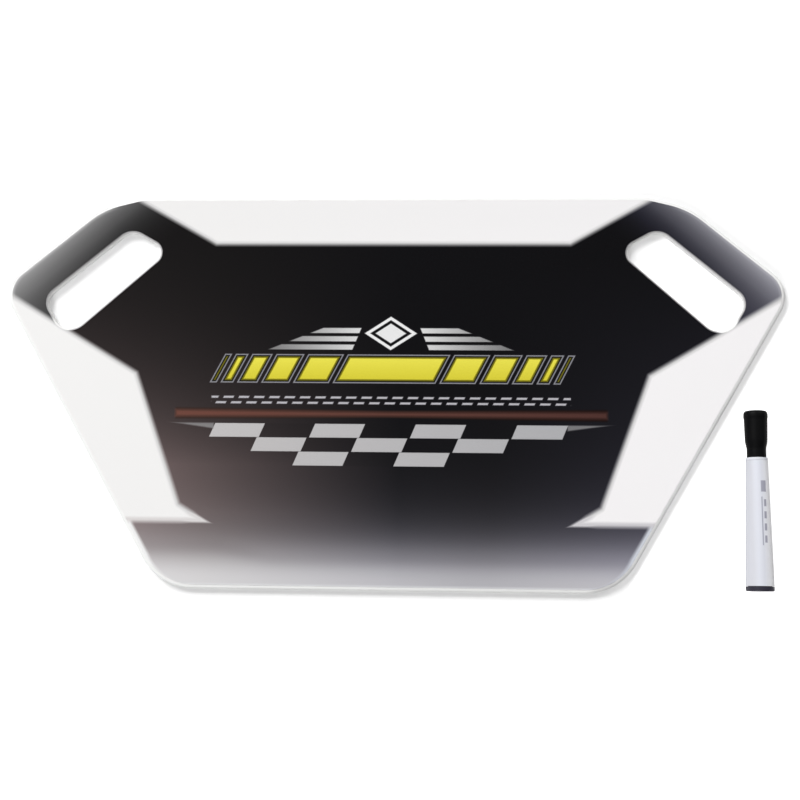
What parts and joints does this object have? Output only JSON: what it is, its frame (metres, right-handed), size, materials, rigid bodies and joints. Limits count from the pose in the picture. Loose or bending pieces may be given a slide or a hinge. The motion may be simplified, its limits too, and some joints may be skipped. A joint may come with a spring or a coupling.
{
  "type": "pit board",
  "caption": "Hand-held race pit board: a flat plastic sheet with a printed, clear-coated front and a slanted hand slot in each upper corner, with a capped dry-erase marker beside it.",
  "frame": {"origin": "Centre of the bounding box's bottom face: the middle of the board's back, on the surface it lies on.", "axes": "+X to the right along the board's width, +Y up the board to its top edge, +Z out of the printed front."},
  "size_m": [0.6102, 0.3096, 0.021],
  "materials": {
    "sheet_plastic": "white stiff plastic sheet, satin, edges rounded over",
    "printed_film": "printed film, black field with white writing panels, grey fades and a chequer band",
    "clear_film": "clear gloss laminate that wipes clean",
    "barrel_plastic": "pale bluish plastic tube, semi-gloss",
    "nose_plastic": "pale moulded plastic, satin",
    "nib_felt": "ink-soaked felt",
    "reservoir_fibre": "wrapped ink fibre",
    "plug_plastic": "dark moulded plastic, satin",
    "cap_plastic": "black moulded plastic, gloss",
    "liner_plastic": "grey moulded plastic"
  },
  "bodies": {
    "board": {"core_sheet": "sheet_plastic", "front_graphic": "printed_film", "clear_overlay": "clear_film"},
    "cap": {"marker_cap": "cap_plastic", "marker_cap_liner": "liner_plastic"},
    "pen": {"marker_barrel": "barrel_plastic", "marker_nose": "nose_plastic", "marker_nib": "nib_felt", "marker_reservoir": "reservoir_fibre", "marker_end_plug": "plug_plastic"}
  },
  "joints": [
    {"name": "marker_lift", "type": "slide", "parent": "board", "child": "cap", "axis": [0, 0, 1], "range_m": [0, 0.06]},
    {"name": "pen_pull", "type": "slide", "parent": "cap", "child": "pen", "axis": [0, -0.9999, 0.0114], "range_m": [0, 0.04]}
  ]
}
